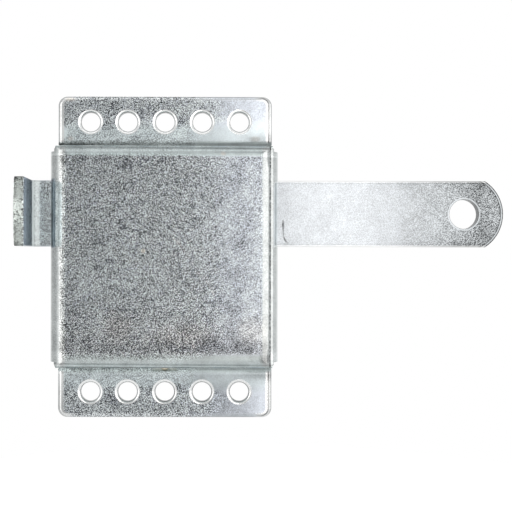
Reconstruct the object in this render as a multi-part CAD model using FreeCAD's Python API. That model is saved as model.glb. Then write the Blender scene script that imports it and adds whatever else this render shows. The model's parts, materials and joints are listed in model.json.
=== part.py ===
"""Inside slide-bolt lock for an overhead door.

A stamped, zinc-plated steel housing is screwed to the inside of the door over its open
back. A flat bolt bar slides through windows in the housing's side walls: its rounded
end enters the door track and takes a padlock, its other end is bent up as a finger tab.
A wire toggle spring, seated in a slot at the foot of the lower wall and riveted to the
bar, snaps the bar to either end of its travel. The rivet's washer is the end stop.

Frame: millimetres, +X along the bar towards the padlock hole, +Z up, front towards -Y.
The origin is the centre of the mounting holes on the back face, which lies at y = 0.
"""
import FreeCAD, Part
import math
import os

from FreeCAD import Vector

# Housing: sheet, box and bends
sheet = 2.0                # thickness of the housing's sheet steel
box_width = 76.2           # outside, over the two side walls
box_height = 74.2          # outside, over the two end walls
side_bend = 6.0            # outside radius, front face to side walls
end_bend = 3.3             # outside radius, front face to end walls
foot_bend = 2.0            # inside radius, end walls to flanges
end_wall_setback = 1.6     # the end walls and flanges stop short of the box's width
side_wall_setback = 2.1    # the side walls stop short of the box's height
relief_radius = 2.1        # round corner reliefs where two bends would meet

# Housing: mounting flanges
flange_reach = 17.7        # end wall's outer face to the flange's tip
flange_corner = 3.2
rolled_edge = 1.4          # rounding of the flanges' punched edges on the front
hole_diameter = 6.35
hole_pitch = 12.7
hole_margin = 8.76         # hole centres to the flange's tip
holes_per_flange = 5
rolled_rim = 1.1           # rounding of the holes' rims on the front

# Slot at the foot of the lower end wall, which seats the spring
foot_slot_width = 8.4
foot_slot_reach = 1.9      # from the wall's outer face out towards the flange
foot_slot_rise = 5.5       # up the wall, from the mounting plane

# Bolt bar
bar_width = 22.2
bar_thickness = 3.4
bar_level = 14.5           # bar centre line above the origin
bar_reach = 75.7           # side wall to the tip of the rounded end, bolt out
bar_edge = 0.4             # rolled edge of the bar stock
tip_radius = 13.2          # rounded end, concentric with the padlock hole
padlock_hole_diameter = 9.9
window_clearance = 0.3     # round the bar in the side walls
window_corner = 0.6

# Finger tab, bent up from the bar
tab_gap = 5.9              # side wall to the tab's inner face, bolt out
tab_height = 17.5          # above the bar's front face
tab_bend = 2.0             # inside radius
tab_crown = 0.35           # the tab's outer face bulges by this much
tab_corner = 1.3

# Rivet, washer and end stops
rivet_diameter = 3.2
rivet_fit = 0.05           # radial clearance in the bar and washer
rivet_head_diameter = 6.4
rivet_head_height = 0.9
rivet_head_edge = 0.7
clinch_diameter = 4.8
clinch_height = 0.9
clinch_edge = 0.6
rivet_bore_diameter = 1.8
rivet_bore_depth = 2.2
rivet_bore_mouth = 2.6
washer_diameter = 9.0
washer_thickness = 0.9
stop_clearance = 0.3       # washer to side wall at each end of the travel
front_clearance = 2.0      # rivet head to the inside of the front face
back_clearance = 0.9       # rivet end to the mounting plane

# Toggle spring
wire_diameter = 1.4
spring_gap = 0.15          # wire to bar, washer and slot edge
coil_radius = 4.0          # centre line
coil_turns = 3
coil_pitch = 1.5
knee_offset = 8.8          # coil centre off the line between the spring's ends
hook_radius = 1.0          # centre line of the hook in the foot slot
hook_angle = 225
eye_clearance = 0.2        # round the rivet
eye_angle = 280

# Worked out from the sizes above. Depths are stacked up from the mounting plane.
half_width = box_width / 2
half_height = box_height / 2
flap_edge = half_width - end_wall_setback
side_edge = half_height - side_wall_setback
flange_tip = half_height + flange_reach
rivet_end_y = -back_clearance
washer_back_y = rivet_end_y - clinch_height
washer_front_y = washer_back_y - washer_thickness
eye_y = washer_front_y - spring_gap - wire_diameter / 2
bar_back_y = eye_y - wire_diameter / 2 - spring_gap
bar_front_y = bar_back_y - bar_thickness
head_y = bar_front_y - rivet_head_height
face_y = head_y - front_clearance - sheet
end_wall_top_y = face_y + end_bend
foot_centre_y = -(sheet + foot_bend)
foot_centre_z = half_height + foot_bend
rivet_x = half_width - sheet - stop_clearance - washer_diameter / 2
bar_tip_x = half_width + bar_reach
padlock_hole_x = bar_tip_x - tip_radius
tab_inner_x = -(half_width + tab_gap)
tab_outer_x = tab_inner_x - bar_thickness
tab_tip_y = bar_front_y - tab_height
slot_foot_z = -(half_height + foot_slot_reach)
hook_y = -sheet / 2
hook_z = slot_foot_z + spring_gap + wire_diameter / 2 + hook_radius

arc_share = math.sqrt(0.5)   # the middle of a quarter arc, as a share of its radius
corner_step = 45             # degrees of a spring turn between polygon corners
past = 1.0                   # cutters run past the faces they cut by this much
tiny = 1e-6


def same(a, b):
    return abs(a - b) < tiny


def middle_of(edge):
    """Point halfway along an edge."""
    return edge.valueAt((edge.FirstParameter + edge.LastParameter) / 2)


def box_between(low, high):
    """Box from its lowest to its highest corner."""
    size = [top - bottom for bottom, top in zip(low, high)]
    return Part.makeBox(*size, Vector(*low))


def rod(radius, x, z, y_from, y_to):
    """Round solid along Y."""
    return Part.makeCylinder(radius, y_to - y_from, Vector(x, y_from, z), Vector(0, 1, 0))


def prism(curves, run):
    """Solid from a closed outline of lines and arcs, drawn out along a vector."""
    return Part.Face(Part.Wire([curve.toShape() for curve in curves])).extrude(run)


def bent_block(half_span, depth, bend, half_run, across_x):
    """Solid block whose two long front edges are rounded, as the sheet's bends are."""
    def at(u, y):
        return Vector(u, y, -half_run) if across_x else Vector(-half_run, y, u)

    soft = bend * (1 - arc_share)
    left = Part.Arc(at(-half_span, bend - depth), at(soft - half_span, soft - depth),
                    at(bend - half_span, -depth))
    right = Part.Arc(at(half_span - bend, -depth), at(half_span - soft, soft - depth),
                     at(half_span, bend - depth))
    run = Vector(0, 0, 2 * half_run) if across_x else Vector(2 * half_run, 0, 0)
    return prism([
        Part.LineSegment(at(-half_span, 0), left.StartPoint), left,
        Part.LineSegment(left.EndPoint, right.StartPoint), right,
        Part.LineSegment(right.EndPoint, at(half_span, 0)),
        Part.LineSegment(at(half_span, 0), at(-half_span, 0)),
    ], run)


def box_form(inset):
    """The closed box as a solid: its outside or, one sheet further in, its inside."""
    across = bent_block(half_width - inset, -face_y - inset, side_bend - inset,
                        half_height - inset, True)
    along = bent_block(half_height - inset, -face_y - inset, end_bend - inset,
                       half_width - inset, False)
    return across.common(along)


def pressed_box():
    """Front face, its four bends and the two side walls, notched at the corners."""
    shell = box_form(0).cut(box_form(sheet))
    wall_inner = half_height - sheet
    for low_z, high_z in ((-2 * half_height, -wall_inner), (wall_inner, 2 * half_height)):
        shell = shell.cut(box_between((-half_width - past, end_wall_top_y, low_z),
                                      (half_width + past, past, high_z)))
    for low_x, high_x in ((-2 * half_width, -flap_edge), (flap_edge, 2 * half_width)):
        for low_z, high_z in ((-2 * half_height, -side_edge), (side_edge, 2 * half_height)):
            shell = shell.cut(box_between((low_x, face_y - past, low_z),
                                          (high_x, past, high_z)))
    return shell


def flap_blank():
    """Upper end wall, foot bend and flange as one bent strip."""
    def at(y, z):
        return Vector(-flap_edge, y, z)

    def quarter(radius):
        """From the end wall round to the flange."""
        return Part.Arc(
            at(foot_centre_y, foot_centre_z - radius),
            at(foot_centre_y + radius * arc_share, foot_centre_z - radius * arc_share),
            at(foot_centre_y + radius, foot_centre_z))

    front, back = quarter(foot_bend), quarter(foot_bend + sheet)
    wall_front = at(end_wall_top_y, half_height)
    wall_back = at(end_wall_top_y, half_height - sheet)
    return prism([
        Part.LineSegment(wall_front, front.StartPoint), front,
        Part.LineSegment(front.EndPoint, at(-sheet, flange_tip)),
        Part.LineSegment(at(-sheet, flange_tip), at(0, flange_tip)),
        Part.LineSegment(at(0, flange_tip), back.EndPoint), back,
        Part.LineSegment(back.StartPoint, wall_back),
        Part.LineSegment(wall_back, wall_front),
    ], Vector(2 * flap_edge, 0, 0))


def is_rim(edge):
    """True for the front rim of a mounting hole."""
    return edge.Closed and same(middle_of(edge).y, -sheet)


def is_rolled(edge):
    """True for a front edge of the flap's outline."""
    middle = middle_of(edge)
    from_foot = math.hypot(middle.y - foot_centre_y, middle.z - foot_centre_z)
    on_side = same(abs(middle.x), flap_edge)
    on_flange = (same(middle.y, -sheet) and middle.z > foot_centre_z + tiny
                 and not edge.Closed)
    on_wall = same(middle.z, half_height) and middle.y > end_wall_top_y + tiny
    on_foot = same(from_foot, foot_bend) and middle.y > foot_centre_y
    return on_flange or (on_side and (on_wall or on_foot))


def flap():
    """Upper flap with rounded corners, mounting holes and rolled front edges."""
    solid = flap_blank()
    corners = [e for e in solid.Edges
               if same(middle_of(e).z, flange_tip) and same(abs(middle_of(e).x), flap_edge)]
    solid = solid.makeFillet(flange_corner, corners)
    for i in range(holes_per_flange):
        hole_x = (i - (holes_per_flange - 1) / 2) * hole_pitch
        solid = solid.cut(rod(hole_diameter / 2, hole_x, flange_tip - hole_margin,
                              -sheet - past, past))
    solid = solid.makeFillet(rolled_rim, [e for e in solid.Edges if is_rim(e)])
    return solid.makeFillet(rolled_edge, [e for e in solid.Edges if is_rolled(e)])


def side_windows():
    """Cutter for the bar's windows in both side walls."""
    half_gap = bar_width / 2 + window_clearance
    cutter = box_between(
        (-half_width - past, bar_front_y - window_clearance, bar_level - half_gap),
        (half_width + past, bar_back_y + window_clearance, bar_level + half_gap))
    along_x = [e for e in cutter.Edges if e.Length > box_width]
    return cutter.makeFillet(window_corner, along_x)


def housing():
    """Box and both flaps in one, with reliefs, windows and the spring's foot slot."""
    upper = flap()
    solid = pressed_box().fuse([upper, upper.mirror(Vector(), Vector(0, 0, 1))])
    for x in (-half_width, half_width):
        for z in (-half_height, half_height):
            solid = solid.cut(rod(relief_radius, x, z, face_y - past, past))
    solid = solid.cut(side_windows())
    slot = box_between((-foot_slot_width / 2, -foot_slot_rise, slot_foot_z),
                       (foot_slot_width / 2, past, sheet + past - half_height))
    return solid.cut(slot).removeSplitter()


def bar_blank():
    """Bar stock bent to an L, with the tab thick enough for its crowned outer face."""
    bend_x = tab_inner_x + tab_bend
    bend_y = bar_front_y - tab_bend

    def at(x, y):
        return Vector(x, y, bar_level - bar_width / 2)

    def quarter(radius):
        """From the bar round to the tab."""
        return Part.Arc(at(bend_x, bend_y + radius),
                        at(bend_x - radius * arc_share, bend_y + radius * arc_share),
                        at(bend_x - radius, bend_y))

    inner, outer = quarter(tab_bend), quarter(tab_bend + bar_thickness)
    return prism([
        Part.LineSegment(at(bar_tip_x, bar_front_y), inner.StartPoint), inner,
        Part.LineSegment(inner.EndPoint, at(tab_inner_x, tab_tip_y)),
        Part.LineSegment(at(tab_inner_x, tab_tip_y), at(tab_outer_x, tab_tip_y)),
        Part.LineSegment(at(tab_outer_x, tab_tip_y), outer.EndPoint), outer,
        Part.LineSegment(outer.StartPoint, at(bar_tip_x, bar_back_y)),
        Part.LineSegment(at(bar_tip_x, bar_back_y), at(bar_tip_x, bar_front_y)),
    ], Vector(0, 0, bar_width))


def is_long_edge(edge):
    """True for an edge that runs along the bar, round its tip or up the tab."""
    middle = middle_of(edge)
    on_side = same(abs(middle.z - bar_level), bar_width / 2) and edge.BoundBox.ZLength < 0.01
    on_tip = middle.x > padlock_hole_x and edge.BoundBox.YLength < 0.01
    return on_side or on_tip


def bolt_bar():
    """Flat bar with a rounded, pierced end and a finger tab bent up at the other."""
    solid = bar_blank()
    tab_ends = [e for e in solid.Edges
                if same(middle_of(e).y, tab_tip_y) and e.BoundBox.ZLength < 0.01]
    solid = solid.makeFillet(tab_corner, tab_ends)
    low_z = bar_level - bar_width / 2
    outline = rod(tip_radius, padlock_hole_x, bar_level, tab_tip_y - past, past)
    outline = outline.fuse(box_between((tab_outer_x - past, tab_tip_y - past, low_z - past),
                                       (padlock_hole_x, past, low_z + bar_width + past)))
    solid = solid.common(outline).removeSplitter()
    solid = solid.makeFillet(bar_edge, [e for e in solid.Edges if is_long_edge(e)])
    crown = ((bar_width / 2) ** 2 + tab_crown ** 2) / (2 * tab_crown)
    solid = solid.common(rod(crown, tab_outer_x + crown, bar_level, tab_tip_y - past, past))
    for radius, x in ((padlock_hole_diameter / 2, padlock_hole_x),
                      (rivet_diameter / 2 + rivet_fit, rivet_x)):
        solid = solid.cut(rod(radius, x, bar_level, bar_front_y - past, past))
    return solid


def rounded_disc(radius, y_from, y_to, edge_round, rounded_y):
    """Disc on the rivet's axis with one of its rims rounded."""
    disc = rod(radius, rivet_x, bar_level, y_from, y_to)
    return disc.makeFillet(edge_round, [
        e for e in disc.Edges if e.Closed and same(middle_of(e).y, rounded_y)])


def pivot_rivet():
    """Semi-tubular rivet: low head, shank and an end rolled over the washer."""
    head = rounded_disc(rivet_head_diameter / 2, head_y, bar_front_y, rivet_head_edge, head_y)
    clinch = rounded_disc(clinch_diameter / 2, washer_back_y, rivet_end_y, clinch_edge,
                          rivet_end_y)
    shank = rod(rivet_diameter / 2, rivet_x, bar_level, bar_front_y, washer_back_y)
    bore = rod(rivet_bore_diameter / 2, rivet_x, bar_level, rivet_end_y - rivet_bore_depth,
               rivet_end_y)
    mouth = Part.makeCone(rivet_bore_diameter / 2, rivet_bore_mouth / 2, clinch_height / 2,
                          Vector(rivet_x, rivet_end_y - clinch_height / 2, bar_level),
                          Vector(0, 1, 0))
    return head.fuse([shank, clinch]).cut(bore.fuse(mouth)).removeSplitter()


def pivot_washer():
    """Flat washer that keeps the spring's eye on the rivet and stops the bar."""
    disc = rod(washer_diameter / 2, rivet_x, bar_level, washer_front_y, washer_back_y)
    return disc.cut(rod(rivet_diameter / 2 + rivet_fit, rivet_x, bar_level,
                        washer_front_y - past, washer_back_y + past))


def polar(angle, radius):
    """Offset in X and Z at an angle in degrees, from +X towards +Z."""
    turn = math.radians(angle)
    return Vector(radius * math.cos(turn), 0, radius * math.sin(turn))


def heading_between(start, start_radius, end, end_radius):
    """Heading of the straight wire between two anticlockwise turns, in degrees."""
    span = end.sub(start)
    direct = math.degrees(math.atan2(span.z, span.x))
    return direct - math.degrees(math.asin((end_radius - start_radius) / span.Length))


def turn_corners(centre, radius, start, sweep, y_from, y_to):
    """Corners of the polygon round a turn or coil, each with its reach to the tangent points."""
    count = round(sweep / corner_step)
    step = sweep / count
    outer = radius / math.cos(math.radians(step / 2))
    reach = radius * math.tan(math.radians(step / 2))
    for i in range(count):
        share = (i + 0.5) / count
        depth = Vector(0, y_from + (y_to - y_from) * share, 0)
        yield centre.add(polar(start + step * (i + 0.5), outer)).add(depth), reach


def smooth_path(first, corners, last):
    """Wire of straight runs and tangent arcs that rounds each corner of a polyline."""
    edges = []
    here = first
    points = [first] + [corner for corner, reach in corners] + [last]
    for (corner, reach), before, after in zip(corners, points, points[2:]):
        inward = corner.sub(before).normalize()
        outward = after.sub(corner).normalize()
        half_turn = inward.getAngle(outward) / 2
        saved = reach * (1 - math.cos(half_turn)) / math.sin(half_turn)
        bend_from = corner.sub(inward * reach)
        bend_to = corner.add(outward * reach)
        middle = corner.add(outward.sub(inward).normalize().multiply(saved))
        if here.distanceToPoint(bend_from) > tiny:
            edges.append(Part.LineSegment(here, bend_from).toShape())
        edges.append(Part.Arc(bend_from, middle, bend_to).toShape())
        here = bend_to
    if here.distanceToPoint(last) > tiny:
        edges.append(Part.LineSegment(here, last).toShape())
    return Part.Wire(edges)


def spring_centreline():
    """The wire's path: hook, lower leg, coil, upper leg and eye, all turning one way."""
    hook = Vector(0, 0, hook_z)
    eye = Vector(rivet_x, 0, bar_level)
    eye_radius = rivet_diameter / 2 + eye_clearance + wire_diameter / 2
    span = eye.sub(hook)
    across = Vector(-span.z, 0, span.x).normalize()
    coil = hook.add(span.multiply(0.5)).add(across.multiply(knee_offset))
    lower = heading_between(hook, hook_radius, coil, coil_radius)
    upper = heading_between(coil, coil_radius, eye, eye_radius)
    sweep = upper - lower + 360 * coil_turns
    coil_y = eye_y - coil_pitch * sweep / 360

    hook_start = lower - 90 - hook_angle
    eye_start = upper - 90
    corners = [
        *turn_corners(hook, hook_radius, hook_start, hook_angle, hook_y, hook_y),
        *turn_corners(coil, coil_radius, lower - 90, sweep, coil_y, eye_y),
        *turn_corners(eye, eye_radius, eye_start, eye_angle, eye_y, eye_y),
    ]
    first = hook.add(polar(hook_start, hook_radius)).add(Vector(0, hook_y, 0))
    last = eye.add(polar(eye_start + eye_angle, eye_radius)).add(Vector(0, eye_y, 0))
    return smooth_path(first, corners, last)


def toggle_spring():
    """Torsion spring in round wire, swept along its centre line."""
    path = spring_centreline()
    start = path.Edges[0]
    section = Part.Circle(start.valueAt(start.FirstParameter),
                          start.tangentAt(start.FirstParameter), wire_diameter / 2)
    return path.makePipeShell([Part.Wire([section.toShape()])], True, False)


pieces = {
    "housing": housing,
    "bolt_bar": bolt_bar,
    "pivot_rivet": pivot_rivet,
    "pivot_washer": pivot_washer,
    "toggle_spring": toggle_spring,
}
os.makedirs("parts", exist_ok=True)
for name, make in pieces.items():
    shape = make()
    shape.exportStep(f"parts/{name}.step")
    print(f"{name}: {len(shape.Solids)} solid, valid {shape.isValid()}, {shape.Volume:.1f} mm3")
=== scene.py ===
import json
import math

import bmesh
import bpy
from mathutils import Matrix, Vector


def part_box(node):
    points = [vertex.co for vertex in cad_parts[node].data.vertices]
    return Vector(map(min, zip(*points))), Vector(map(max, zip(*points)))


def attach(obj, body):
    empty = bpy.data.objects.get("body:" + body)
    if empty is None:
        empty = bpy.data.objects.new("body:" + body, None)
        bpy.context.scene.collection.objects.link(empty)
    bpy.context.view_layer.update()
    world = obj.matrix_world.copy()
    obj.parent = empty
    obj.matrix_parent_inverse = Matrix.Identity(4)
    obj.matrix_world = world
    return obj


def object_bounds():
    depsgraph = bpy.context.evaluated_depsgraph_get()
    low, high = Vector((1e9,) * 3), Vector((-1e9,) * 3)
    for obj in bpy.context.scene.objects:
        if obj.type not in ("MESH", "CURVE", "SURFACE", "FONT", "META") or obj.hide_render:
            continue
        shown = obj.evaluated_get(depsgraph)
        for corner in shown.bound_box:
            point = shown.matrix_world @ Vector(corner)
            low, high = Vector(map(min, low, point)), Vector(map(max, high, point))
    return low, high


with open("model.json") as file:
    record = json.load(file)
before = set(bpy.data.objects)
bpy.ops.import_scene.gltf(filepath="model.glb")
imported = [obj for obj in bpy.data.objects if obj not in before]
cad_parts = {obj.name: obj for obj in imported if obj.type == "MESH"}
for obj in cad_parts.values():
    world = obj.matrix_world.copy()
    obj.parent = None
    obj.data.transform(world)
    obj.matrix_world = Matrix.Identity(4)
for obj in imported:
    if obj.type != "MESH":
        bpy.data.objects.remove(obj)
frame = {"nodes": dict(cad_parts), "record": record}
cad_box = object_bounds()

# ---------------------------------------------------------------------------------------
# Camera. The lock is seen square on from in front, from a little right of its housing and
# close enough for the perspective to show both side walls.
# ---------------------------------------------------------------------------------------
camera_data = bpy.data.cameras.new("camera")
camera_data.sensor_width = 36.0
camera_data.lens = 68.69
camera_data.shift_x = 0.1
camera_data.clip_start = 0.01
camera_data.clip_end = 20.0
camera = bpy.data.objects.new("camera", camera_data)
camera.location = (0.01163, -0.33525, 0.00003)
camera.rotation_euler = (math.radians(90.05), math.radians(-0.1), math.radians(-0.34))
bpy.context.scene.collection.objects.link(camera)
bpy.context.scene.camera = camera

# ---------------------------------------------------------------------------------------
# Housing. One stamping of 2 mm sheet steel, screwed to the door through its two flanges.
# It is zinc plated after forming: finely mottled on the flats, smoother where the bends
# have stretched the sheet, and burnished round the punched holes, whose rims are also
# painted light as highlights and whose bores are painted dark as shade.
# ---------------------------------------------------------------------------------------
housing = frame["nodes"]["housing"]
mounts = {mount["name"]: mount for mount in frame["record"]["mounts"]}
screw_holes = mounts["fixing_holes_inner"]["dims"]
hole_pitch = screw_holes["spacing_x_mm"] / 2000
hole_row = screw_holes["spacing_y_mm"] / 2000
bar_level = mounts["padlock_hole"]["pos_m"][2]


class Coat:
    """Short hand for adding and joining the nodes of one piece's finish.

    x, y and z are places on the piece in metres. Grains lie in a turned copy of them, so
    that no row of grains lines up with an edge.
    """

    def __init__(self, name):
        self.material = bpy.data.materials.new(name)
        self.material.use_nodes = True
        self.tree = self.material.node_tree
        self.surface = self.tree.nodes["Principled BSDF"]
        self.place = self.add("ShaderNodeTexCoord").outputs["Object"]
        self.x, self.y, self.z = self.split(self.place)
        self.turned = self.add("ShaderNodeVectorRotate", {
            "Vector": self.place, "Axis": (1.0, 0.6, 0.3), "Angle": 1.0,
        }).outputs["Vector"]

    def add(self, kind, inputs=None, **settings):
        """New node. An input's value is a number, a colour or another node's output."""
        node = self.tree.nodes.new(kind)
        for key, value in settings.items():
            setattr(node, key, value)
        for key, value in (inputs or {}).items():
            self.feed(node.inputs[key], value)
        return node

    def feed(self, socket, value):
        """Joins an output to a socket, or sets the socket to a number or a colour."""
        if isinstance(value, bpy.types.NodeSocket):
            self.tree.links.new(value, socket)
        else:
            socket.default_value = value

    def split(self, vector):
        """The three parts of a vector."""
        node = self.add("ShaderNodeSeparateXYZ", {"Vector": vector})
        return node.outputs["X"], node.outputs["Y"], node.outputs["Z"]

    def math(self, operation, *values):
        """Result of one operation on numbers or outputs."""
        node = self.add("ShaderNodeMath", operation=operation)
        for socket, value in zip(node.inputs, values):
            self.feed(socket, value)
        return node.outputs[0]

    def product(self, result, *values):
        """All the values multiplied."""
        for value in values:
            result = self.math("MULTIPLY", result, value)
        return result

    def most(self, result, *values):
        """The largest of the values."""
        for value in values:
            result = self.math("MAXIMUM", result, value)
        return result

    def plus(self, value, mask, amount):
        """A value with an amount added where the mask is 1, and a share of it in between."""
        return self.math("MULTIPLY_ADD", mask, amount, value)

    def squared(self, across, up):
        """Square of the distance to a point that lies so far across and up."""
        return self.math("MULTIPLY_ADD", across, across, self.math("MULTIPLY", up, up))

    def distance(self, across, up):
        """Distance to a point that lies so far across and up."""
        return self.math("SQRT", self.squared(across, up))

    def ramp(self, value, low, high, to_low=0.0, to_high=1.0):
        """Smooth step of a value between two limits."""
        node = self.add("ShaderNodeMapRange", {
            "Value": value, "From Min": low, "From Max": high,
            "To Min": to_low, "To Max": to_high,
        }, interpolation_type="SMOOTHSTEP")
        return node.outputs[0]

    def band(self, value, start, full, fading, end):
        """Stripe with soft edges: 1 from full to fading, and 0 before start and after end."""
        return self.product(self.ramp(value, start, full), self.ramp(value, end, fading))

    def noise(self, size, detail=2.0, roughness=0.5):
        """Noise with grains of a given size in metres."""
        node = self.add("ShaderNodeTexNoise", {
            "Vector": self.turned, "Scale": 1 / size, "Detail": detail, "Roughness": roughness,
        })
        return node.outputs["Fac"]

    def mix(self, share, first, second):
        """Mix of two colours."""
        node = self.add("ShaderNodeMix", data_type="RGBA")
        self.feed(node.inputs["Factor"], share)
        self.feed(node.inputs["A"], first)
        self.feed(node.inputs["B"], second)
        return node.outputs["Result"]


def steps(coat, value, place, mask, *rows):
    """A value that steps up or down at some lines, where the mask is 1.

    Each line is given as the two edges of its step, in metres, and an amount.
    """
    for low, high, amount in rows:
        value = coat.plus(value, coat.product(coat.ramp(place, low, high), mask), amount)
    return value


def spot(coat, x, z, wide, high):
    """Soft patch seen from the front: 1 at its middle, 0 from its radii outwards, in mm."""
    across = coat.math("MULTIPLY_ADD", coat.x, 1000 / wide, -x / wide)
    up = coat.math("MULTIPLY_ADD", coat.z, 1000 / high, -z / high)
    return coat.ramp(coat.squared(across, up), 1.0, 0.0)


def patches(coat, value, *rows):
    """A value with soft patches added, each given as its spot in mm and an amount."""
    for x, z, wide, high, amount in rows:
        value = coat.plus(value, spot(coat, x, z, wide, high), amount)
    return value


def hairline(coat, waver, start, middle, end, wide):
    """Thin scratch along the arc through three points, fading out at its ends, in mm.

    waver is what makes the line stray a little from its arc.
    """
    (ax, az), (bx, bz), (cx, cz) = start, middle, end
    twice = 2 * (ax * (bz - cz) + bx * (cz - az) + cx * (az - bz))
    a = ax * ax + az * az
    b = bx * bx + bz * bz
    c = cx * cx + cz * cz
    centre_x = (a * (bz - cz) + b * (cz - az) + c * (az - bz)) / twice
    centre_z = (a * (cx - bx) + b * (ax - cx) + c * (bx - ax)) / twice
    radius = math.hypot(ax - centre_x, az - centre_z)
    across = coat.math("MULTIPLY_ADD", coat.x, 1000.0, -centre_x)
    up = coat.math("MULTIPLY_ADD", coat.z, 1000.0, -centre_z)
    off = coat.math("ABSOLUTE", coat.math("SUBTRACT", coat.distance(across, up), radius))
    off = coat.plus(off, waver, 0.9)
    reach = 0.62 * math.hypot(cx - ax, cz - az)
    return coat.product(coat.ramp(off, wide, 0.0), spot(coat, bx, bz, reach, reach))


def zinc(coat, value, mottle, grain, rough, tint=(0.93, 1.0, 1.09), swell=None,
         scratches=None, clouds=0.3):
    """Zinc plate: metal with a mottle of fine light and dark grains.

    value is how light the plate is, mottle how strong its grains are, grain their height
    in metres, rough its roughness and tint its colour. swell is the height of the sheet
    itself, scratches how dark its scratches are, and clouds how strong its large patches
    are where nothing else is mottled.
    """
    fine = coat.noise(0.00030, detail=1.0, roughness=0.6)
    patch = coat.noise(0.0013, detail=1.0)
    cloud = coat.noise(0.0055, detail=4.0, roughness=0.65)
    speck = coat.math("SUBTRACT", coat.ramp(fine, 0.38, 0.62), 0.5)
    speck = coat.plus(speck, coat.math("SUBTRACT", patch, 0.5), 0.40)
    light = coat.plus(value, speck, coat.product(mottle, 1.85))
    light = coat.plus(light, coat.math("SUBTRACT", cloud, 0.5), coat.plus(clouds, mottle, 1.5))
    light = coat.math("MINIMUM", coat.most(light, 0.04), 1.0)
    if scratches is not None:
        kept = coat.math("SUBTRACT", 1.0, coat.math("MINIMUM", scratches, 0.8))
        light = coat.product(light, kept)
    colour = coat.add("ShaderNodeVectorMath", {0: tint, "Scale": light}, operation="SCALE")
    coat.feed(coat.surface.inputs["Base Color"], colour.outputs[0])
    coat.feed(coat.surface.inputs["Metallic"], 1.0)
    coat.feed(coat.surface.inputs["Roughness"], rough)
    height = coat.add("ShaderNodeBump", {
        "Strength": 1.0, "Distance": grain, "Height": coat.product(fine, mottle),
    })
    if swell is not None:
        shape = coat.add("ShaderNodeBump", {"Strength": 1.0, "Distance": 1.0, "Height": swell})
        coat.feed(height.inputs["Normal"], shape.outputs["Normal"])
    coat.feed(coat.surface.inputs["Normal"], height.outputs["Normal"])
    return coat.material


def dress(piece, material):
    """Gives a whole piece one material."""
    piece.data.materials.clear()
    piece.data.materials.append(material)


coat = Coat("housing_zinc")
waver = coat.math("SUBTRACT", coat.noise(0.0024, detail=1.0), 0.5)
across = coat.math("ABSOLUTE", coat.x)
endways = coat.math("ABSOLUTE", coat.z)
front = coat.ramp(coat.y, -0.0120, -0.0126)
on_flange = coat.product(coat.ramp(endways, 0.0385, 0.0395), coat.ramp(coat.y, -0.0030, -0.0022))
right_end = coat.ramp(coat.x, 0.0300, 0.0340)

# The bends: down both sides, along both ends of the front, and at the flanges' feet.
side_bends = coat.product(coat.ramp(across, 0.0319, 0.0334), coat.ramp(coat.y, -0.0067, -0.0078))
upper_bend = coat.ramp(coat.z, 0.0330, 0.0336)
lower_bend = coat.ramp(coat.z, -0.0317, -0.0334)
end_bends = coat.product(coat.most(upper_bend, lower_bend), coat.ramp(coat.y, -0.0094, -0.0099))
foot_bends = coat.product(
    coat.ramp(endways, 0.0475, 0.0425, 0, 0.7), coat.ramp(coat.y, -0.0060, -0.0045),
)
bends = coat.most(side_bends, end_bends, foot_bends)

# The rims: rings round the holes, and the flanges' outline with its round corners. past is
# how far a point lies outside the flange's flat field.
column = coat.most(
    coat.math("PINGPONG", coat.x, hole_pitch / 2), coat.math("SUBTRACT", across, 2 * hole_pitch),
)
row = coat.math("SUBTRACT", endways, hole_row)
from_hole = coat.distance(column, row)
hole_rims = coat.product(coat.ramp(from_hole, 0.00445, 0.00415), on_flange)
field_side = 0.0327
field_end = 0.0516
past_side = coat.most(coat.math("SUBTRACT", across, field_side), 0.0)
past_end = coat.most(coat.math("SUBTRACT", endways, field_end), 0.0)
past = coat.distance(past_side, past_end)
outline = coat.product(coat.ramp(past, 0.0015, 0.0019), coat.ramp(across, 0.0290, 0.0335, 0.3, 1.0))
rims = coat.most(hole_rims, coat.product(outline, on_flange))

# The mottle: next to none on the bends, the rims and the crease over the upper flange, and
# little on the worn right part of the lock.
near_edge = coat.product(coat.ramp(endways, 0.0345, 0.0335), front)
smooth = coat.product(coat.most(bends, rims), coat.plus(1.0, near_edge, -0.35))
worn = coat.ramp(coat.x, 0.003, 0.023, -0.14, 0.58)
worn = coat.plus(worn, coat.ramp(coat.z, -0.0385, -0.0395), 0.06)
worn = coat.plus(worn, coat.product(on_flange, coat.ramp(coat.x, 0.010, 0.030)), 0.25)
mottle = coat.most(coat.math("SUBTRACT", coat.plus(1.0, smooth, -1.04), worn), 0.06)
crease = coat.product(
    coat.band(coat.z, 0.0360, 0.0370, 0.0382, 0.0396), coat.ramp(coat.y, -0.0060, -0.0050),
)
mottle = coat.product(mottle, coat.plus(1.0, crease, -0.75))

# How light the plate is. The rims are painted bright as highlights, and the bores and the
# sheared outline, which starts at the brim, are painted dark as shade.
value = coat.plus(0.55, rims, coat.ramp(coat.x, 0.026, 0.033, 0.30, 0.12))
value = coat.plus(value, hole_rims, 0.14)
brim = coat.plus(past, right_end, -0.0005)
bores = coat.most(
    coat.ramp(from_hole, 0.00352, 0.00336), coat.ramp(brim, 0.00275, 0.00305, 0.0, 0.45),
)
value = coat.plus(value, coat.product(bores, on_flange), -0.55)
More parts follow.
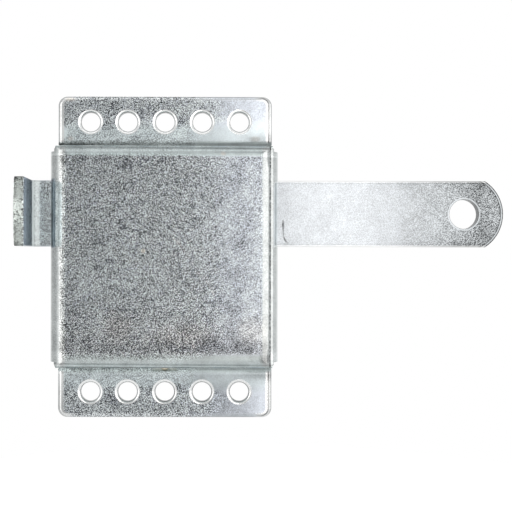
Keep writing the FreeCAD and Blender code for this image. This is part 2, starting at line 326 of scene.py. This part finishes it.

# The flanges, in painted light: each has its own level and is lighter towards its foot, and
# the upper one has a painted highlight near its left end. Their right ends are painted light
# outside and dark inside, with a dark line along the sheared edge.
upper = coat.plus(0.05, coat.ramp(coat.z, 0.0500, 0.0440), 0.12)
upper = coat.plus(upper, coat.ramp(coat.x, 0.0, 0.0140), 0.04)
upper = coat.product(upper, coat.ramp(coat.z, 0.0385, 0.0400))
lower = coat.ramp(coat.x, -0.0200, 0.0100, 0.0, -0.06)
lower = coat.plus(lower, coat.ramp(coat.z, -0.0470, -0.0520), -0.04)
lower = coat.product(lower, coat.ramp(coat.z, -0.0385, -0.0395))
level = coat.math("ADD", upper, lower)
outer = coat.product(coat.ramp(endways, 0.0408, 0.0440), coat.ramp(coat.x, 0.0240, 0.0335))
level = coat.plus(level, outer, coat.ramp(coat.z, -0.03, 0.03, 0.20, 0.10))
inner = coat.product(coat.ramp(endways, 0.0425, 0.0400), coat.ramp(coat.x, 0.0220, 0.0320))
level = coat.plus(level, inner, -0.17)
below = coat.product(
    coat.band(coat.z, -0.0460, -0.0415, -0.0392, -0.0385),
    coat.ramp(coat.x, 0.0200, 0.0, 0.3, 1.0),
)
level = coat.plus(level, below, 0.14)
level = patches(
    coat, level,
    (-34.4, 42.6, 1.6, 2.4, 0.55), (-31.4, 51.0, 5.0, 4.0, 0.05), (30.6, 40.2, 2.4, 1.2, -0.16),
)
level = coat.plus(level, coat.band(coat.z, -0.0404, -0.0397, -0.0390, -0.0386), 0.14)
sheared_edge = coat.band(past, 0.00235, 0.00250, 0.00272, 0.00290)
level = coat.plus(level, coat.product(sheared_edge, right_end), -0.50)
value = coat.plus(value, level, on_flange)
nick = hairline(coat, waver, (-33.1, -40.5), (-32.0, -40.2), (-30.8, -40.5), 0.32)
value = coat.plus(value, nick, -0.30)

# The folds: painted shade low on the lower end wall and in the crease over the upper flange,
# and painted highlights and shade lines along the bends at both ends of the front, a little
# out of level. The side walls are a little darker towards the door.
shade = coat.product(
    coat.band(coat.z, -0.0388, -0.0384, -0.0370, -0.0360), coat.ramp(coat.y, -0.0090, -0.0050),
)
value = coat.plus(value, shade, -0.16)
value = coat.plus(value, crease, coat.ramp(coat.x, -0.0320, -0.0100, -0.48, -0.30))
value = steps(
    coat, value, coat.plus(coat.z, coat.x, 0.008), coat.ramp(coat.y, -0.0088, -0.0092),
    (0.0331, 0.0335, 0.20), (0.0338, 0.0342, -0.12), (0.0346, 0.0349, -0.08),
    (0.0357, 0.0360, -0.12), (0.0364, 0.0366, 0.22), (0.03685, 0.0370, -0.38),
    (-0.0310, -0.0320, 0.10), (-0.0338, -0.0343, -0.04), (-0.0352, -0.0355, -0.20),
    (-0.0359, -0.0361, 0.20), (-0.0365, -0.0367, -0.28),
)
walls = coat.product(coat.ramp(across, 0.0374, 0.0379), coat.ramp(coat.y, -0.0072, -0.0060))
value = coat.plus(value, walls, -0.09)

# The front: darker along its left, upper and lower edges, with handling marks all over it.
# A minus makes a lighter mark.
front_marks = coat.product(coat.ramp(coat.x, -0.0275, -0.0318), 0.08)
upper_edge = coat.product(coat.ramp(coat.z, 0.0270, 0.0325), coat.ramp(coat.x, 0.020, -0.002))
front_marks = coat.plus(front_marks, upper_edge, 0.18)
front_marks = coat.product(front_marks, coat.ramp(coat.z, 0.0334, 0.0329))
lower_edge = coat.product(
    coat.band(coat.z, -0.0325, -0.0312, -0.0300, -0.0255),
    coat.ramp(coat.x, 0.0300, 0.0100, 0.8, 1.0),
)
front_marks = coat.plus(front_marks, lower_edge, 0.24)
front_marks = patches(
    coat, front_marks,
    (-31, 12, 2.2, 5, 0.10), (-31, -5.6, 2.2, 3.5, 0.12), (-31.5, -25, 3, 7.5, 0.14),
    (-17, 28, 11, 5.5, 0.08), (-11, 27, 4, 3.5, 0.08), (-23.7, 5.2, 3, 3, 0.10),
    (-2, 30, 6, 4, 0.06), (3.5, 21, 5, 4, 0.06), (8.9, 13.3, 6, 4.5, 0.10),
    (-2, 11, 3, 3, 0.06), (-15.2, -24, 4.5, 4, 0.12), (-12, -19, 3.5, 4, 0.06),
    (2, -25.5, 8, 4, 0.07), (13, -27, 6, 4.5, 0.06), (0, -30, 3, 2, 0.08),
    (-27, 24, 7, 7, -0.05), (-20, -8, 12, 6, -0.08), (8, -27, 9, 6, 0.09),
    (6, 28, 9, 6, 0.07), (8.5, 19, 7, 5, 0.05), (29.8, -32.4, 3.0, 3.0, 0.12),
    (-14, -9, 16, 6, -0.06), (-10, 1, 16, 6, -0.05), (5, 28, 14, 6, 0.04),
    (8, -27, 12, 6, 0.05), (14, -28, 7, 5, 0.07), (-10, 20, 5, 4, -0.05),
    (29, -24.5, 6, 6, -0.10), (29.5, 5, 5, 24, -0.04), (-6.8, 1.9, 0.8, 0.9, -0.25),
    (-8, 29.5, 9, 4.5, 0.13), (10, 29.5, 9, 4.5, 0.07), (8.5, 22.4, 11, 4.5, 0.09),
    (25, 22, 7, 5, -0.10), (-22, 19, 5, 7, -0.08), (7, 15, 4.5, 5, 0.11),
    (21.5, 8, 5, 5, -0.12), (-22, -6.3, 5, 5, -0.09), (-7.5, -6.3, 5, 5, -0.11),
    (-26, -13.4, 7, 5, -0.09), (3, -13.4, 7, 5, 0.10), (21.5, -13.4, 5, 5, 0.08),
    (29, -15, 5, 9, -0.10), (10, -20.5, 8, 5, 0.07), (-14, -28.3, 18, 4, 0.07),
    (4, -28, 13, 4.5, 0.10),
)
value = coat.plus(value, coat.product(front_marks, front), -1.0)

# The sides: by the bar's left window the wall is painted dark as shade and its bend has a
# painted highlight line. Both side bends have a painted highlight where they turn furthest,
# and the right one has a row of specks. Two corners of the box are painted dark as shade.
beside_bar = coat.math("ABSOLUTE", coat.math("SUBTRACT", coat.z, bar_level))
beside_bar = coat.ramp(beside_bar, 0.0118, 0.0110)
value = coat.plus(value, coat.product(beside_bar, coat.ramp(coat.x, -0.0362, -0.0372)), -0.40)
light_line = coat.band(coat.x, -0.0346, -0.0342, -0.0338, -0.0334)
value = coat.plus(value, coat.product(beside_bar, light_line), 0.25)
left_turn = coat.band(coat.x, -0.0360, -0.0354, -0.0347, -0.0340)
value = coat.plus(value, coat.product(left_turn, side_bends), 0.13)
right_turn = coat.ramp(coat.x, 0.0362, 0.0366)
value = coat.plus(value, coat.product(right_turn, side_bends), 0.14)
specks = coat.product(
    coat.band(coat.x, 0.0349, 0.0351, 0.0353, 0.0356), coat.ramp(coat.y, -0.0100, -0.0110),
    coat.ramp(coat.noise(0.0006, detail=1.0), 0.44, 0.56, 0.1, 1.0),
)
value = coat.plus(value, specks, -0.48)
value = patches(coat, value, (33.4, -33.6, 2.4, 2.4, -0.32), (-33.0, 33.2, 2.2, 2.6, -0.22))

# The gloss: the side bends are polished most, then the end bends and the rims.
turned_over = coat.product(end_bends, coat.ramp(coat.y, -0.0126, -0.0121))
polish = coat.most(side_bends, coat.product(coat.most(turned_over, rims), 0.6))
rough = coat.plus(0.28, polish, -0.15)

# Scratches on the front, each as three points of its arc, its width and its depth. The last
# four are bright where the others are dark.
scratches = 0.0
for start, middle, end, wide, depth in (
    ((-8.4, 25.3), (-11.4, 22.5), (-12.6, 19.4), 0.30, 0.60),
    ((-15.0, 17.1), (-11.0, 12.8), (-6.2, 10.1), 0.30, 0.65),
    ((-13.3, 10.1), (-10.5, 9.1), (-6.5, 8.7), 0.26, 0.50),
    ((-30.1, 11.6), (-28.0, 10.0), (-26.0, 9.5), 0.28, 0.60),
    ((-17.8, 17.3), (-16.4, 17.8), (-15.0, 17.1), 0.28, 0.60),
    ((12.2, -15.2), (15.3, -15.0), (18.8, -14.5), 0.26, 0.60),
    ((20.2, -16.2), (23.5, -16.5), (27.2, -16.2), 0.22, 0.40),
    ((18.3, -19.2), (22.5, -18.1), (27.2, -17.6), 0.22, 0.35),
    ((3.7, 5.8), (6.9, 2.0), (9.3, -2.3), 0.26, -0.9),
    ((11.7, -5.6), (14.3, -8.6), (16.4, -12.2), 0.26, -0.9),
    ((6.5, -24.7), (8.7, -27.4), (10.5, -30.6), 0.26, -0.9),
    ((-14.1, -31.4), (-12.8, -32.4), (-11.3, -33.7), 0.26, -0.9),
):
    line = hairline(coat, waver, start, middle, end, wide)
    scratches = coat.plus(scratches, line, depth)
scratches = coat.product(scratches, front)

# Hairlines all over the flats: the edges of two sets of bent cells, broken up by patches.
bend_share = coat.product(coat.noise(0.0030, detail=2.0), 0.3)
bent_place = coat.add("ShaderNodeVectorMath", {
    0: coat.place, 1: bend_share, 2: coat.place,
}, operation="MULTIPLY_ADD")
for cell, share in ((0.0046, 0.50), (0.0027, 0.20)):
    cells = coat.add("ShaderNodeTexVoronoi", {
        "Vector": bent_place.outputs[0], "Scale": 1 / cell,
    }, feature="DISTANCE_TO_EDGE")
    thin = coat.ramp(cells.outputs["Distance"], 0.045, 0.0)
    broken = coat.ramp(coat.noise(cell * 1.3, detail=1.0), 0.48, 0.60)
    scratches = coat.plus(scratches, coat.product(thin, broken, mottle), share)

# Tints: the plate is greener on the bends, bluish in the painted shade by the bar's left
# window, and warm with handling dirt low on the front.
warm = coat.product(coat.ramp(coat.z, -0.012, -0.030), front, 0.15)
warm = patches(
    coat, warm,
    (-15.2, -23, 6, 7, 0.30), (6, -26, 14, 5, 0.25), (29, -24.5, 6, 6, 0.25),
    (19.6, 34.2, 1.2, 0.9, 0.6), (30.8, 40.2, 2.2, 1.2, 0.35), (-32.3, 53.6, 2.2, 1.0, 0.8),
    (-32.2, 40.3, 1.5, 1.0, 0.5), (-6.8, 1.9, 0.8, 0.9, 3.0),
)
tint = (0.930, 1.0, 1.090, 1)
for mask, colour in (
    (bends, (0.89, 1.0, 1.01, 1)),
    (side_bends, (0.95, 1.0, 1.0, 1)),
    (coat.product(beside_bar, coat.ramp(coat.x, -0.0355, -0.0368)), (0.84, 1.0, 1.13, 1)),
    (coat.band(endways, 0.0360, 0.0366, 0.0388, 0.0400), (0.88, 1.0, 1.0, 1)),
    (rims, (0.98, 1.0, 1.0, 1)),
    (warm, (1.04, 1.0, 0.93, 1)),
):
    tint = coat.mix(mask, tint, colour)

# Slight swells of the sheet: the flanges turn towards the box's ends below their holes and
# droop at their right ends, and the front's right edge dips between its corners.
above_foot = coat.math("SUBTRACT", 0.0475, coat.most(endways, 0.0398))
lift = coat.product(coat.math("SMOOTH_MAX", above_foot, 0.0, 0.004), 0.06)
to_right = coat.most(coat.math("SUBTRACT", coat.x, 0.0140), 0.0)
droop = coat.product(to_right, to_right, -0.75)
swell = coat.plus(lift, droop, on_flange)
to_edge = coat.most(coat.math("SUBTRACT", coat.x, 0.0305), 0.0)
dip = coat.product(to_edge, to_edge, front, coat.ramp(endways, 0.0325, 0.0285, 0.0, -6.0))
swell = coat.math("ADD", swell, dip)
dress(housing, zinc(coat, value, mottle, 0.000012, rough, tint, swell, scratches))

# ---------------------------------------------------------------------------------------
# Web behind the foot slot. The punch that opens the slot leaves a thin web of the sheet at
# its back, which keeps the spring's hook from the door and closes the slot to view.
# ---------------------------------------------------------------------------------------
web_width = 0.0090
web_depth = 0.0024
web_thickness = 0.00024
web_place = (0, -0.00027, -0.0381)
web_shape = bmesh.new()
bmesh.ops.create_grid(web_shape, x_segments=14, y_segments=4, size=0.5)
bmesh.ops.scale(web_shape, verts=web_shape.verts, vec=(web_width, web_depth, 1.0))
upright = Matrix.Rotation(math.radians(90), 3, "X")
bmesh.ops.rotate(web_shape, verts=web_shape.verts, cent=(0, 0, 0), matrix=upright)
bmesh.ops.translate(web_shape, verts=web_shape.verts, vec=web_place)
web_mesh = bpy.data.meshes.new("slot_web")
web_shape.to_mesh(web_mesh)
web_shape.free()
web = bpy.data.objects.new("slot_web", web_mesh)
bpy.context.scene.collection.objects.link(web)
sheet = web.modifiers.new("sheet", "SOLIDIFY")
sheet.thickness = web_thickness
sheet.offset = -1.0
coat = Coat("web_zinc")
value = coat.ramp(coat.noise(0.0011, detail=3.0), 0.35, 0.65, 0.62, 0.80)
# Painted shade: the web is darker at its two ends, where the slot's ends shade it.
value = coat.plus(value, coat.ramp(coat.math("ABSOLUTE", coat.x), 0.0034, 0.0042), -0.14)
mottle = coat.ramp(coat.noise(0.0014), 0.35, 0.65, 0.05, 0.20)
rough = coat.ramp(coat.noise(0.0020), 0.35, 0.65, 0.30, 0.42)
dress(web, zinc(coat, value, mottle, 0.000010, rough, (0.92, 1.0, 0.95)))
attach(web, "housing")

# ---------------------------------------------------------------------------------------
# Bolt bar. Flat steel bar with rolled edges, bright zinc plated. Its right end is rounded
# and pierced for a padlock, and its left end is bent forwards into a finger tab. It slides
# through windows in the housing's two side walls.
# ---------------------------------------------------------------------------------------
bar = frame["nodes"]["bolt_bar"]
padlock_hole = mounts["padlock_hole"]["pos_m"][0]
coat = Coat("bar_zinc")
waver = coat.math("SUBTRACT", coat.noise(0.0024, detail=1.0), 0.5)
off_axis = coat.math("ABSOLUTE", coat.math("SUBTRACT", coat.z, bar_level))
from_hole = coat.distance(coat.math("SUBTRACT", coat.x, padlock_hole), off_axis)
tip = coat.ramp(coat.x, 0.074, 0.107)
nose = coat.ramp(coat.x, 0.1040, 0.1060)
stub = coat.ramp(coat.x, -0.036, -0.040)
off_stub = coat.math("SUBTRACT", 1.0, stub)
on_tab = coat.ramp(coat.y, -0.0095, -0.0100)
off_tab = coat.math("SUBTRACT", 1.0, on_tab)
end_face = coat.product(coat.ramp(coat.x, -0.0441, -0.0443), on_tab)
inner_face = coat.product(coat.ramp(coat.x, -0.0442, -0.0440), on_tab)
inner_bend = coat.product(coat.band(coat.x, -0.0442, -0.0440, -0.0420, -0.0412), off_tab)
rim = coat.product(coat.ramp(off_axis, 0.0105, 0.0107), off_tab)

# The flat run, in painted light: lighter by the housing and darker towards the rounded end
# and its edges. The rolled edges are painted almost white along the run as highlights, with a
# painted dark line just inside them.
value = coat.ramp(coat.x, 0.062, 0.094, 0.74, 0.54)
value = coat.plus(value, coat.band(coat.x, 0.0330, 0.0360, 0.0400, 0.0500), -0.05)
value = coat.plus(value, coat.ramp(coat.x, 0.090, 0.106), -0.22)
by_edges = coat.product(coat.ramp(off_axis, 0.0060, 0.0095), coat.ramp(coat.x, 0.0700, 0.0850))
value = coat.plus(value, by_edges, -0.06)
to_white = coat.product(
    coat.math("SUBTRACT", 1.0, value), off_stub, coat.ramp(coat.x, 0.0700, 0.0950, 1.0, 0.4),
)
to_white = coat.plus(to_white, stub, -0.20)
value = coat.plus(value, rim, to_white)
shoulder = coat.product(
    coat.band(off_axis, 0.0098, 0.0102, 0.0104, 0.0106), coat.ramp(coat.x, 0.0330, 0.0360),
)
value = coat.plus(value, shoulder, -0.08)
scuff = coat.most(
    hairline(coat, waver, (39.8, 12.7), (39.8, 9.7), (40.1, 7.0), 0.42),
    hairline(coat, waver, (40.0, 7.4), (40.4, 5.9), (41.3, 4.8), 0.42),
)
value = coat.plus(value, scuff, -0.52)

# The rounded end, in painted light and shade: a dark bore in a light ring, and three rings
# along its outer edge.
value = coat.plus(value, coat.ramp(from_hole, 0.00508, 0.00500), -0.48)
value = coat.plus(value, coat.ramp(from_hole, 0.00560, 0.00545), 0.25)
value = steps(
    coat, value, from_hole, coat.product(nose, coat.ramp(coat.y, -0.0069, -0.0073)),
    (0.01195, 0.01210, -0.20), (0.01235, 0.01245, 0.42), (0.01275, 0.01290, -0.55),
)

# The finger tab: burnished on its inner face, and at its end sheared rough, torn in one
# place and painted darker towards all four edges as shade.
burnished = coat.product(inner_face, coat.ramp(coat.y, -0.0130, -0.0180))
value = coat.plus(value, burnished, 0.38)
shear_grain = coat.noise(0.0016, detail=3.0, roughness=0.7)
value = coat.plus(value, coat.product(coat.ramp(coat.y, -0.0247, -0.0250), shear_grain), 0.30)
tab_edges = coat.most(
    coat.ramp(coat.x, -0.0445, -0.0443), coat.ramp(off_axis, 0.0094, 0.0099),
)
tab_edges = coat.product(tab_edges, coat.ramp(coat.y, -0.0240, -0.0243))
value = coat.plus(value, tab_edges, -0.32)
flakes = coat.noise(0.0011, detail=2.0, roughness=0.6)
torn = coat.product(end_face, spot(coat, -45.4, 14.3, 2.2, 6.0))
value = coat.plus(value, coat.product(torn, coat.ramp(flakes, 0.50, 0.56)), 0.80)
value = coat.plus(value, coat.product(torn, coat.ramp(flakes, 0.45, 0.39)), -0.45)
shaded = coat.ramp(coat.z, 0.0044, 0.0040, 0.0, 0.06)
shaded = coat.plus(shaded, coat.ramp(coat.z, 0.0242, 0.0246), 0.20)
shaded = coat.plus(shaded, coat.ramp(coat.x, -0.0462, -0.0468), 0.22)
shaded = coat.plus(shaded, coat.ramp(coat.x, -0.0447, -0.0444), 0.16)
shaded = coat.math("ADD", shaded, 0.08)
value = coat.plus(value, coat.product(end_face, shaded), -1.0)

# The bend inside the tab: light and rough, with a dark line that the bending drew.
value = coat.plus(value, coat.product(inner_bend, coat.ramp(coat.x, -0.0430, -0.0436)), 0.20)
value = coat.plus(value, inner_bend, 0.14)
drawn_line = coat.band(coat.x, -0.0437, -0.0435, -0.0433, -0.0431)
value = coat.plus(value, coat.product(drawn_line, inner_bend), -0.20)
rough = coat.plus(0.28, inner_bend, 0.2)

# The mottle: strong on the stub, weak along the run, and weakest on what was worked.
ring = coat.most(
    coat.ramp(from_hole, 0.00565, 0.00545), coat.product(coat.ramp(from_hole, 0.0122, 0.0124), nose),
)
mottle = coat.plus(0.14, coat.most(tip, stub), coat.ramp(coat.x, 0.0, 0.01, 0.78, 0.17))
for mask, share in ((rim, -0.9), (end_face, -0.6), (ring, -0.8), (inner_bend, -0.7)):
    mottle = coat.product(mottle, coat.plus(1.0, mask, share))

# Tints, and painted shade: a darker gloss deep inside the tab.
tint = (0.945, 1.0, 1.045, 1)
for mask, colour in (
    (tip, (0.935, 1.0, 1.035, 1)),
    (stub, (0.92, 1.0, 1.06, 1)),
    (end_face, (0.922, 1.0, 0.96, 1)),
    (inner_bend, (0.93, 1.0, 1.0, 1)),
    (coat.product(rim, off_stub), (0.98, 1.0, 1.0, 1)),
):
    tint = coat.mix(mask, tint, colour)
depth = coat.ramp(coat.y, -0.0225, -0.0185)
deep = coat.mix(depth, (0.42, 0.45, 0.53, 1), (0.17, 0.19, 0.225, 1))
coat.feed(coat.surface.inputs["Specular Tint"], coat.mix(inner_face, (1, 1, 1, 1), deep))
swell = coat.product(torn, flakes, 0.0003)
dress(bar, zinc(coat, value, mottle, 0.000014, rough, tint, swell, clouds=0.10))
coat.feed(coat.surface.inputs["Metallic"], coat.plus(1.0, inner_bend, -0.8))

# ---------------------------------------------------------------------------------------
# Pivot rivet and washer. Turned steel, zinc plated. The rivet is set through the bar and
# carries the spring's eye. Its end is rolled over the washer, which keeps the eye on and
# whose rim meets the side walls where the bar's travel ends.
# ---------------------------------------------------------------------------------------
for name in ("pivot_rivet", "pivot_washer"):
    low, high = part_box(name)
    coat = Coat(name + "_zinc")
    across = coat.math("SUBTRACT", coat.x, (low[0] + high[0]) / 2)
    up = coat.math("SUBTRACT", coat.z, (low[2] + high[2]) / 2)
    from_axis = coat.distance(across, up)
    worn = coat.ramp(from_axis, 0.0006, 0.0048, 0.72, 0.50)
    turning = coat.plus(coat.noise(0.0012, detail=2.0), from_axis, 21000.0)
    value = coat.plus(worn, coat.math("SINE", turning), 0.035)
    mottle = coat.ramp(coat.noise(0.0018), 0.35, 0.65, 0.15, 0.50)
    rough = coat.ramp(coat.noise(0.0025, detail=3.0), 0.35, 0.65, 0.25, 0.36)
    dress(frame["nodes"][name], zinc(coat, value, mottle, 0.000020, rough))

# ---------------------------------------------------------------------------------------
# Toggle spring. Spring wire wound in three turns, with yellow zinc plate that is rubbed
# pale in places. It hooks into the slot at the housing's foot, and its eye on the rivet
# holds the bar at either end of its travel.
# ---------------------------------------------------------------------------------------
spring = frame["nodes"]["toggle_spring"]
coat = Coat("spring_zinc")
rubbed = coat.noise(0.0022, detail=3.0, roughness=0.6)
value = coat.ramp(rubbed, 0.38, 0.62, 0.70, 0.92)
mottle = coat.ramp(coat.noise(0.0016), 0.35, 0.65, 0.08, 0.30)
rough = coat.ramp(rubbed, 0.35, 0.65, 0.36, 0.24)
tint = coat.mix(coat.ramp(rubbed, 0.40, 0.66), (1.08, 1.0, 0.78, 1), (1.03, 1.0, 0.90, 1))
dress(spring, zinc(coat, value, mottle, 0.000010, rough, tint))

# ---------------------------------------------------------------------------------------
# Floor. A pale matt disc below the lock, which takes its shadow. Its glow shows to the
# camera and in reflections alone, so that it adds no light to the lock's own surfaces.
# ---------------------------------------------------------------------------------------
floor_radius = 0.21
floor_place = (0.03, 0, cad_box[0][2] - 0.05)
floor_shape = bmesh.new()
bmesh.ops.create_circle(floor_shape, cap_ends=True, segments=96, radius=floor_radius)
bmesh.ops.translate(floor_shape, verts=floor_shape.verts, vec=floor_place)
floor_mesh = bpy.data.meshes.new("floor")
floor_shape.to_mesh(floor_mesh)
floor_shape.free()
floor = bpy.data.objects.new("floor", floor_mesh)
bpy.context.scene.collection.objects.link(floor)
coat = Coat("floor_white")
path = coat.add("ShaderNodeLightPath").outputs
mirrored = coat.most(path["Is Glossy Ray"], path["Is Transmission Ray"])
glow = coat.plus(coat.product(mirrored, 0.2), path["Is Camera Ray"], 0.55)
coat.feed(coat.surface.inputs["Base Color"], (0.8, 0.8, 0.8, 1))
coat.feed(coat.surface.inputs["Roughness"], 0.9)
coat.feed(coat.surface.inputs["Specular IOR Level"], 0.0)
coat.feed(coat.surface.inputs["Emission Color"], (1, 1, 1, 1))
coat.feed(coat.surface.inputs["Emission Strength"], glow)
dress(floor, coat.material)


# ---------------------------------------------------------------------------------------
# Studio. The world is a plain grey, dimmest straight in front of the lock, and white to
# the camera and in reflections of what is behind it. Soft boxes stand round the lock, so
# that its rounded bends catch them.
# ---------------------------------------------------------------------------------------
class World(Coat):
    """The same short hand for the world, with the view direction as its place."""

    def __init__(self, name):
        self.material = bpy.data.worlds.new(name)
        self.material.use_nodes = True
        self.tree = self.material.node_tree
        self.tree.nodes.clear()
        self.place = self.add("ShaderNodeTexCoord").outputs["Generated"]
        self.x, self.y, self.z = self.split(self.place)


studio = World("studio")
bpy.context.scene.world = studio.material
to_sides = studio.ramp(studio.math("ABSOLUTE", studio.x), 0.20, 0.42)
to_ends = studio.ramp(studio.math("ABSOLUTE", studio.z), 0.13, 0.28)
behind = studio.ramp(studio.y, 0.5, 0.97)
level = studio.plus(0.36, studio.most(to_sides, to_ends), 0.30)
level = studio.plus(level, behind, 0.2)
level = studio.plus(level, studio.ramp(studio.x, 0.3, 1.0), 0.12)
path = studio.add("ShaderNodeLightPath").outputs
mirrored = studio.most(path["Is Glossy Ray"], path["Is Transmission Ray"])
white = studio.most(path["Is Camera Ray"], studio.product(mirrored, behind))
strength = studio.add("ShaderNodeMix", {"Factor": white}, data_type="FLOAT")
studio.feed(strength.inputs["A"], level)
studio.feed(strength.inputs["B"], 1.0)
sky = studio.add("ShaderNodeBackground", {
    "Color": (1, 1, 1, 1), "Strength": strength.outputs["Result"],
})
studio.add("ShaderNodeOutputWorld", {"Surface": sky.outputs["Background"]})


def softbox(name, azimuth, elevation, width, height, level):
    """Rectangular lamp at an angle from the front, with its angular size, in degrees."""
    distance = 1.6
    lamp = bpy.data.lights.new(name, "AREA")
    lamp.shape = "RECTANGLE"
    lamp.color = (1.04, 1.0, 0.98)
    lamp.size = 2 * distance * math.tan(math.radians(width / 2))
    lamp.size_y = 2 * distance * math.tan(math.radians(height / 2))
    lamp.energy = level * math.pi * lamp.size * lamp.size_y
    turn = math.radians(azimuth)
    rise = math.radians(elevation)
    holder = bpy.data.objects.new(name, lamp)
    holder.location = (
        distance * math.sin(turn) * math.cos(rise),
        -distance * math.cos(turn) * math.cos(rise),
        distance * math.sin(rise),
    )
    holder.rotation_euler = (-holder.location).to_track_quat("-Z", "Y").to_euler()
    bpy.context.scene.collection.objects.link(holder)


softbox("front_right", azimuth=9.3, elevation=0, width=6.6, height=50, level=1.85)
softbox("wide_right", azimuth=33.5, elevation=0, width=30, height=50, level=1.0)
softbox("rim_right", azimuth=82, elevation=0, width=17, height=50, level=0.9)
softbox("wide_left", azimuth=-46, elevation=0, width=50, height=50, level=0.35)
softbox("core_left", azimuth=-50, elevation=0, width=20, height=50, level=0.6)
softbox("above", azimuth=0, elevation=62, width=60, height=22, level=0.5)
softbox("below", azimuth=0, elevation=-43, width=60, height=22, level=0.4)
bpy.context.scene.view_settings.view_transform = "Standard"
